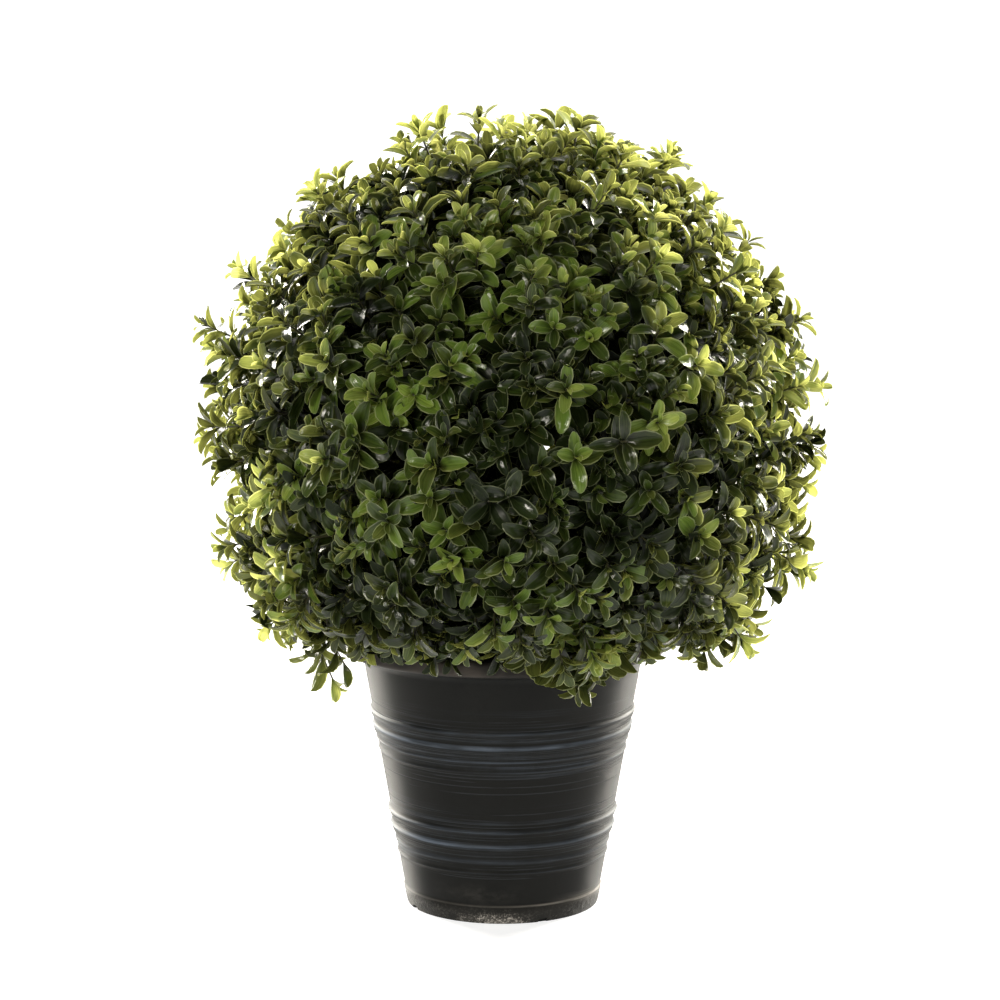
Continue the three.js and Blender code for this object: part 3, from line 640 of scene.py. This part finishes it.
def model_ballast():
    """The ballast's rough crowned top over a plug that fills the pot."""
    bpy.ops.object.select_all(action="DESELECT")
    top_radius = (FILL_HIGH.x - FILL_LOW.x) / 2
    depth = FILL_HIGH.z - FILL_LOW.z
    middle = FILL_LOW.z + depth / 2
    size = {"vertices": FILL_SIDES, "radius": top_radius, "depth": depth}
    bpy.ops.mesh.primitive_cylinder_add(location=(0, 0, middle), **size)
    fill = bpy.context.object
    bpy.ops.object.transform_apply(location=True, rotation=True, scale=True)
    bpy.ops.object.mode_set(mode="EDIT")
    bpy.ops.mesh.select_mode(type="FACE")
    shape = bmesh.from_edit_mesh(fill.data)
    for face in shape.faces:
        face.select_set(face.normal.z > 0.9)
    bmesh.update_edit_mesh(fill.data)
    for _ in range(FILL_RINGS):
        bpy.ops.mesh.inset(thickness=top_radius * FILL_RING_WIDTH)
    bpy.ops.object.mode_set(mode="OBJECT")
    low_share = (wall_radius(FLOOR_TOP) - WALL_THICKNESS - FILL_CLEARANCE) / top_radius
    rng = np.random.default_rng(SEED)
    for vertex in fill.data.vertices:
        off = math.hypot(vertex.co.x, vertex.co.y) / top_radius
        if vertex.co.z > middle:
            crown = FILL_CROWN * (1 - off)
            grain = 0 if off > 0.99 else rng.uniform(0, FILL_GRAIN)
            vertex.co.z = FILL_HIGH.z - FILL_CROWN + crown - grain
        else:
            vertex.co.x *= low_share
            vertex.co.y *= low_share
    return finish_piece(fill, "rough_ballast", cast_ballast(), ["pot_fill"])


# Limbs


def stem_points():
    third = (STEM_TOP - STEM_FOOT) / 3
    return [
        Vector((0, 0, STEM_FOOT)),
        Vector((0, 0, STEM_FOOT + third)),
        Vector((STEM_LEAN * 0.5, -2 * STEM_BOW, STEM_TOP - third)),
        Vector((STEM_LEAN, 0, STEM_TOP)),
    ]


def stem_at(height):
    shares = np.linspace(0, 1, 400)
    return min((bezier(stem_points(), s) for s in shares), key=lambda p: abs(p.z - height))


def bough_list():
    """Each bough's direction and the control points of its line from the stem to its tip."""
    boughs = []
    for count, elevation, first_turn, foot in BOUGH_RINGS:
        for i in range(count):
            out = direction(elevation, first_turn + 360 * i / count)
            place = (i % 2) * math.ceil(count / 2) + i // 2
            tip = BALL_CENTRE + out * BOUGH_REACH
            start = stem_at(foot + place * BOUGH_STEP_HEIGHT) if foot else stem_points()[-1]
            boughs.append((out, [start, tip - out * BOUGH_STRAIGHT_END, tip]))
    return boughs


def strand_curve(name, strands, sides):
    """Tapering strands, each a list of (point, radius), swept with a few sides and made one mesh."""
    curve = bpy.data.curves.new(name, "CURVE")
    curve.dimensions = "3D"
    curve.bevel_depth = 1.0
    curve.bevel_resolution = (sides - 4) // 2
    curve.use_fill_caps = True
    for strand in strands:
        spline = curve.splines.new("POLY")
        spline.points.add(len(strand) - 1)
        for knot, (point, radius) in zip(spline.points, strand):
            knot.co = (*point, 1)
            knot.radius = radius
    made = bpy.data.objects.new(name, curve)
    bpy.context.collection.objects.link(made)
    only(made)
    bpy.ops.object.convert(target="MESH")
    return bpy.context.object


def tapered(points, radii, steps):
    shares = [i / steps for i in range(steps + 1)]
    return [(bezier(points, s), radii[0] + (radii[1] - radii[0]) * s) for s in shares]


def model_stem_and_boughs(boughs):
    stem = []
    for point, radius in tapered(stem_points(), STEM_RADII, STEM_STEPS):
        flare = max(0, 1 - (point.z - STEM_FOOT) / STEM_FLARE_HEIGHT) ** 2
        stem.append((point, radius + STEM_FLARE * flare))
    strands = [stem] + [tapered(line, BOUGH_RADII, BOUGH_STEPS) for _, line in boughs]
    limbs = strand_curve("limbs", strands, LIMB_SIDES)
    bark = bpy.data.textures.new("bark_relief", "MUSGRAVE")
    bark.noise_scale = BARK_GRAIN
    relief = limbs.modifiers.new("relief", "DISPLACE")
    relief.texture = bark
    relief.strength = BARK_RELIEF
    relief.mid_level = 0.75
    apply_all(limbs)
    bpy.ops.object.shade_smooth_by_angle(angle=math.radians(50))
    replaced = [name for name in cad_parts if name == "stem" or name.startswith("bough_")]
    return finish_piece(limbs, "bark_limbs", dark_bark(), replaced)


# Twigs


def even_directions(count, lowest, rng, jitter):
    """Directions spread evenly over the ball down to an elevation, varied a little."""
    golden = 180 * (3 - math.sqrt(5))
    bottom = math.sin(math.radians(lowest))
    spread = []
    for i in range(count):
        height = 1 - (1 - bottom) * (i + 0.5) / count
        out = direction(math.degrees(math.asin(height)), golden * i)
        spread.append((out + Vector(rng.uniform(-jitter, jitter, 3))).normalized())
    return spread


def nearest(out, others):
    return max(others, key=lambda other: other[0].dot(out))


def branch_list(boughs, rng):
    """Branches from the boughs' tips to under the leaves: direction, line, how much longer and lighter."""
    branches = []
    for out in even_directions(BRANCH_COUNT, LOWEST_TWIG, rng, 0.06):
        bough_out, bough_line = nearest(out, boughs)
        tip = bough_line[-1]
        varied = rng.uniform(-BRANCH_REACH_VARIES, BRANCH_REACH_VARIES) * MM
        end = BALL_CENTRE + out * (BRANCH_REACH + varied)
        middle = tip.lerp(end, BRANCH_BEND_AT) + bough_out * BRANCH_BEND * MM
        line = [tip - bough_out * BRANCH_ROOTED * MM, middle, end]
        branches.append((out, line, rng.normal(0, BRANCH_LONGER), rng.normal(0, BRANCH_LIGHTER)))
    return branches


def clears_pot(points, margin=1.2 * MM):
    """True for each point of an array that is outside the pot."""
    away = np.hypot(points[..., 0], points[..., 1])
    height = points[..., 2]
    wall = np.where(height > WALL_TOP, LIP_RADIUS, wall_radius(height) + BEADS_CLEARED)
    return (height > LIP_TOP + margin) | (away > wall + margin)


def inner_twig(out, branches, rng):
    """A short twig whose leaves close the ball from within: its line, its tint, whether it stands out."""
    branch_out, branch_line, _, _ = nearest(out, branches)
    start = bezier(branch_line, rng.uniform(*INNER_START))
    tip = BALL_CENTRE + out * (INNER_REACH + rng.normal(0, INNER_REACH_VARIES) * MM)
    middle = start.lerp(tip, 0.5) + branch_out * INNER_BEND * MM
    # the low tint is painted shade inside the ball
    return [start, middle, tip], rng.uniform(*INNER_TINT), False


def twig_over_ball(out, branches, rng):
    """One twig from its branch to under the outline, turned level where it meets the lip."""
    branch_out, branch_line, longer, lighter = nearest(out, branches)
    out = (out + GATHERED * branch_out).normalized()
    low = fullness_below(out)
    stands_proud = rng.random() < PROUD_SHARE + PROUDER_SHARE_BELOW * low
    proud = rng.uniform(PROUD_LEAST, 1) * (TIP_PROUD + PROUDER_BELOW * low) if stands_proud else 0
    reach = clipped_reach(out) - TIP_UNDER + proud + longer + rng.normal(0, REACH_SPREAD)
    tip = BALL_CENTRE + out * reach
    start = bezier(branch_line, rng.uniform(*TWIG_START))
    lean = Vector(rng.uniform(-1, 1, 3)) * TWIG_LEAN * MM
    upward = max(LIFT_LOWEST, min(1, (elevation_of(out) - LIFT_FROM) / -LIFT_FROM)) * LIFT
    middle = start.lerp(tip, 0.5) + branch_out * TWIG_BEND * MM + lean - Vector((0, 0, upward))
    if tip.z < LIP_TOP + NEAR_LIP:
        level = Vector((tip.x, tip.y, 0)).normalized()
        away = max(math.hypot(tip.x, tip.y), LIP_RADIUS + rng.uniform(0, LIP_TIP_OUT) * MM)
        height = max(tip.z, LIP_TOP + rng.uniform(*LIP_TIP_RISE) * MM)
        tip = Vector((level.x * away, level.y * away, height))
        middle = start.lerp(tip, 0.6) + Vector((0, 0, LIP_ARCH))
    # painted shade: leaves under the ball are given darker tints
    shaded = SHADE * max(0, min(1, (SHADE_BELOW - elevation_of(out)) / SHADE_SPREAD))
    standing_out = proud > STANDS_OUT * TIP_PROUD
    # sprigs that stand out are coloured lighter, partly as fresh growth and partly as painted light; the
    # rest a little darker
    proud_lighter = PROUD_LIGHTER if standing_out else -PROUD_LIGHTER / 4
    tint = rng.beta(2.0, 2.2) + lighter - shaded + proud_lighter
    return [start, middle, tip], tint, standing_out


def special_twigs(branches):
    """The stray sprigs that stand furthest out and the ones that hang over the lip."""
    lines = []
    for elevation, turn, reach in STRAYS:
        out = direction(elevation, turn)
        start = nearest(out, branches)[1][-1]
        tip = BALL_CENTRE + out * (reach * MM - TIP_UNDER * 0.9)
        lines.append(([start, start.lerp(tip, 0.5) + Vector((0, 0, -5 * MM)), tip], STRAY_TINT, True))
    backlit_side_tint, shaded_front_tint, beside_tint = HANGING_TINTS
    inside_tip, over_tip = HANGING_TIP
    for turn, away, height, sides in HANGING:
        level = direction(0, turn)
        start, belly, tip = (
            level * radius * MM + Vector((0, 0, z * MM))
            for radius, z in (HANGING_FROM, HANGING_BELLY, (away + inside_tip, height + over_tip))
        )
        # painted light and shade: hanging sprigs at the sides take a lighter tint than those at the front
        # and back
        lines.append(([start, belly, tip], backlit_side_tint if abs(level.x) > 0.7 else shaded_front_tint, True))
        for side in sides:
            beside = Matrix.Rotation(math.radians(side), 3, "Z")
            short = tip + Vector((0, 0, (HANGING_BESIDE + abs(side)) * MM))
            lines.append(([start, beside @ belly, beside @ short], beside_tint, False))
    return lines


# Leaves


def model_leaf(name, rise, bend_degrees, turn_degrees, sharper):
    """One leaf of unit length along +X, folded up along its midrib, bent back and turned a little."""
    bpy.ops.object.select_all(action="DESELECT")
    rows = len(LEAF_OUTLINE) - 1
    bpy.ops.mesh.primitive_grid_add(x_subdivisions=rows, y_subdivisions=2, size=1, calc_uvs=True)
    leaf = bpy.context.object
    leaf.name = name
    whole_bend = math.radians(bend_degrees)
    for vertex in leaf.data.vertices:
        t, share = LEAF_OUTLINE[round((vertex.co.x + 0.5) * rows)]
        side = round(vertex.co.y * 2)
        towards_tip = max(0, (t - LEAF_SHARPENS_AT) / (1 - LEAF_SHARPENS_AT))
        half = share * LEAF_WIDTH / 2 * (1 - sharper * towards_tip**1.5)
        bend = whole_bend * t
        turn = math.radians(turn_degrees) * t
        out = side * half * math.cos(turn)
        up = rise * half * abs(side) + side * half * math.sin(turn)
        vertex.co.x = math.sin(bend) / whole_bend + up * math.sin(bend)
        vertex.co.y = out
        vertex.co.z = (math.cos(bend) - 1) / whole_bend + up * math.cos(bend)
    return leaf


def leaf_template(leaf):
    """A leaf's corners, faces and UV corners as arrays."""
    mesh = leaf.data
    corners = np.array([vertex.co for vertex in mesh.vertices])
    faces = [list(face.vertices) for face in mesh.polygons]
    uvs = np.array([loop.uv for loop in mesh.uv_layers[0].data])
    return corners, faces, uvs


def leaves_on(line, rng, fresh, standing_out):
    """The crossing pairs of leaves on one twig: foot, axes, length, width and rank from the tip."""
    pairs, spacing = (LONGER_PAIRS, LADDERED) if standing_out else (LEAF_PAIRS, 1)
    ahead = (bezier(line, 1.0) - bezier(line, 0.97)).normalized()
    length = sum((bezier(line, s / 10) - bezier(line, (s - 1) / 10)).length for s in range(1, 11))
    first = rng.uniform(0, math.pi)
    placed = []
    for rank, (under, leaf_length, opening) in enumerate(pairs):
        share = 1 - under * spacing * MM * rng.uniform(*SPACING_VARIES) / length
        if share < TWIG_BARE:
            break
        foot = bezier(line, share)
        along = ahead
        if rank:
            along = (bezier(line, min(1, share + 0.05)) - bezier(line, share - 0.05)).normalized()
        side = along.orthogonal().normalized()
        for hand in range(2):
            turn = first + (rank + 2 * hand) * math.pi / 2 + rng.normal(0, PAIR_TURN_VARIES)
            outward = Matrix.Rotation(turn, 3, along) @ side
            spread = math.radians(opening + rng.normal(0, OPENING_VARIES))
            axis = along * math.cos(spread) + outward * math.sin(spread)
            face = along * math.sin(spread) - outward * math.cos(spread)
            across = face.cross(axis)
            still_small = FRESH_SMALLER if fresh and rank == 0 else 1
            size = leaf_length * MM * rng.uniform(*LEAF_LENGTH_VARIES) * still_small
            width = size * rng.uniform(*LEAF_WIDTH_VARIES)
            placed.append((foot + outward * LEAF_STALK * MM, axis, across, face, size, width, rank))
    return placed


def joined_leaves(name, templates, placed, material, rng):
    """All leaves of one colour as one mesh, copied from the modelled leaves."""
    points, faces, uvs, offset = [], [], [], 0
    kinds = rng.integers(0, len(templates), len(placed))
    for kind, (corners, leaf_faces, leaf_uvs) in enumerate(templates):
        chosen = [leaf for leaf, k in zip(placed, kinds) if k == kind]
        if not chosen:
            continue
        foot, axis, across, face = (np.array([leaf[i] for leaf in chosen])[:, None, :] for i in range(4))
        size, width = (np.array([leaf[i] for leaf in chosen])[:, None, None] for i in (4, 5))
        x, y, z = (corners[None, :, i, None] for i in range(3))
        grown = foot + axis * x * size + across * y * width + face * z * size
        low, high = np.array(CAD_BOX[0]) + BOX_MARGIN, np.array(CAD_BOX[1]) - BOX_MARGIN
        in_reach = clears_pot(grown).all(axis=1) & ((grown > low) & (grown < high)).all(axis=(1, 2))
        grown = grown[in_reach]
        for i in range(len(grown)):
            faces += [[corner + offset for corner in leaf_face] for leaf_face in leaf_faces]
            offset += len(corners)
        points.append(grown.reshape(-1, 3))
        uvs.append(np.tile(leaf_uvs, (len(grown), 1)))
    mesh = bpy.data.meshes.new(name)
    mesh.from_pydata(np.concatenate(points).tolist(), [], faces)
    layer = mesh.uv_layers.new(name="blade")
    layer.data.foreach_set("uv", np.concatenate(uvs).ravel())
    mesh.polygons.foreach_set("use_smooth", np.ones(len(mesh.polygons), dtype=bool))
    mesh.update()
    piece = bpy.data.objects.new(name, mesh)
    bpy.context.collection.objects.link(piece)
    return finish_piece(piece, name, material)


LEAF_COLOURS = {
    # blade, midrib and tip, edge (pale, a painted highlight), roughness, gloss, colour of the light that
    # comes through, how thin it is
    "deep": (
        (0.006, 0.0100, 0.0028), (0.011, 0.018, 0.004), (0.085, 0.102, 0.055),
        0.26, 0.12, (0.05, 0.06, 0.012), 0.08,
    ),
    "dark": (
        (0.0075, 0.0135, 0.0034), (0.017, 0.029, 0.005), (0.20, 0.225, 0.130),
        0.15, 0.3, (0.30, 0.320, 0.070), 0.11,
    ),
    "middle": (
        (0.019, 0.034, 0.0058), (0.046, 0.075, 0.011), (0.33, 0.370, 0.220),
        0.16, 0.33, (0.48, 0.505, 0.115), 0.16,
    ),
    "light": (
        (0.073, 0.126, 0.0190), (0.150, 0.228, 0.033), (0.47, 0.530, 0.295),
        0.19, 0.34, (0.58, 0.595, 0.145), 0.24,
    ),
    "young": (
        (0.128, 0.204, 0.0290), (0.225, 0.305, 0.048), (0.57, 0.625, 0.350),
        0.22, 0.34, (0.69, 0.685, 0.195), 0.31,
    ),
}


def colour_of(rank, tint):
    """A leaf's colour group: darker further from the tip, lighter with its tint, 0 dark to 1 young."""
    level = tint * 2.35 - 0.1 * rank - 0.3
    for colour, above in COLOUR_LEVELS:
        if level > above:
            return colour
    return "deep"


def model_crown():
    rng = np.random.default_rng(SEED)
    boughs = bough_list()
    model_stem_and_boughs(boughs)
    branches = branch_list(boughs, rng)
    lines = special_twigs(branches)
    for out in even_directions(TWIG_COUNT, LOWEST_TWIG, rng, 0.035):
        lines.append(twig_over_ball(out, branches, rng))
    for out in even_directions(INNER_TWIG_COUNT, LOWEST_TWIG, rng, 0.05):
        lines.append(inner_twig(out, branches, rng))
    groups = {colour: [] for colour in LEAF_COLOURS}
    kept = []
    for line, tint, standing_out in lines:
        steps = np.array([bezier(line, s) for s in (0.5, 0.8, 1.0)])
        if not clears_pot(steps).all():
            continue
        kept.append(line)
        for leaf in leaves_on(line, rng, tint > FRESH_TINT, standing_out):
            groups[colour_of(leaf[-1], tint + rng.normal(0, TINT_VARIES))].append(leaf)
    strands = [tapered(line, BRANCH_RADII, 6) for _, line, _, _ in branches]
    strands += [tapered(line, TWIG_RADII, 5) for line in kept]
    twigs = strand_curve("twigs", strands, 4)
    finish_piece(twigs, "twigs", twig_skin(), ["foliage_ball"])
    leaves = [model_leaf(*shape) for shape in LEAF_SHAPES]
    templates = [leaf_template(leaf) for leaf in leaves]
    for colour, placed in groups.items():
        skin = leaf_skin(f"leaf_{colour}", *LEAF_COLOURS[colour])
        joined_leaves(f"leaves_{colour}", templates, placed, skin, rng)
    for leaf in leaves:
        bpy.data.objects.remove(leaf)


# Studio

FLOOR_SIZE = 90
WORLD_RAMP = {"From Min": -0.1, "From Max": 0.64, "To Min": 0.04, "To Max": 1.55}  # strength, front to back
LIGHT_COLOUR = (1.0, 0.95, 0.84)
LIGHTS = (
    # name, place, width and height, power
    ("back_left", (-1.2, 1.25, 0.7), (0.4, 1.2), 152),
    ("back_right", (1.25, 1.2, 0.8), (0.4, 1.2), 154),
    ("back_top", (0.1, 1.0, 1.5), (1.6, 0.8), 12),
    ("front_right", (1.5, -1.3, 0.65), (0.4, 0.4), 9),
    ("front_left", (-0.8, -1.6, 0.9), (0.3, 0.3), 18),
)


def studio_floor():
    bpy.ops.object.select_all(action="DESELECT")
    bpy.ops.mesh.primitive_plane_add(size=FLOOR_SIZE, location=(0, 0, 0))
    floor = bpy.context.object
    s = Shader("pale_floor")
    surface = s.principled(
        Base_Color=(0.27, 0.27, 0.27),
        Roughness=0.32,
        Emission_Color=(1.0, 1.0, 1.0),
        Emission_Strength=0.8,
    )
    floor.data.materials.append(s.done(surface))
    floor.name = "pale_floor"


def studio_world():
    """White behind the plant and dim in front of it, so that the ball is lit from behind and its sides."""
    world = bpy.data.worlds.new("white_studio")
    bpy.context.scene.world = world
    world.use_nodes = True
    tree = world.node_tree
    background = tree.nodes["Background"]
    place = tree.nodes.new("ShaderNodeTexCoord")
    split = tree.nodes.new("ShaderNodeSeparateXYZ")
    ramp = tree.nodes.new("ShaderNodeMapRange")
    tree.links.new(place.outputs["Generated"], split.inputs[0])
    tree.links.new(split.outputs["Y"], ramp.inputs["Value"])
    for key, value in WORLD_RAMP.items():
        ramp.inputs[key].default_value = value
    tree.links.new(ramp.outputs[0], background.inputs["Strength"])
    background.inputs["Color"].default_value = (1, 1, 1, 1)


def area_light(name, place, size, power):
    """A warm panel of light that faces the middle of the ball."""
    lamp = bpy.data.lights.new(name, "AREA")
    lamp.shape = "RECTANGLE"
    lamp.size, lamp.size_y = size
    lamp.energy = power
    lamp.color = LIGHT_COLOUR
    light = bpy.data.objects.new(name, lamp)
    light.location = place
    light.rotation_euler = (BALL_CENTRE - Vector(place)).to_track_quat("-Z", "Y").to_euler()
    bpy.context.collection.objects.link(light)


def studio_lights():
    for light in LIGHTS:
        area_light(*light)


def studio_camera():
    lens = bpy.data.cameras.new("camera")
    lens.lens = CAMERA_LENS
    lens.sensor_width = CAMERA_SENSOR
    camera = bpy.data.objects.new("camera", lens)
    camera.location = (CAMERA_SHIFTED, -CAMERA_AWAY, CAMERA_HEIGHT)
    camera.rotation_euler = (math.radians(90 - CAMERA_TILT), 0, 0)
    bpy.context.collection.objects.link(camera)
    bpy.context.scene.camera = camera
    bpy.context.scene.view_settings.view_transform = "Standard"


studio_camera()
studio_world()
studio_lights()
studio_floor()
model_pot()
model_ballast()
model_crown()
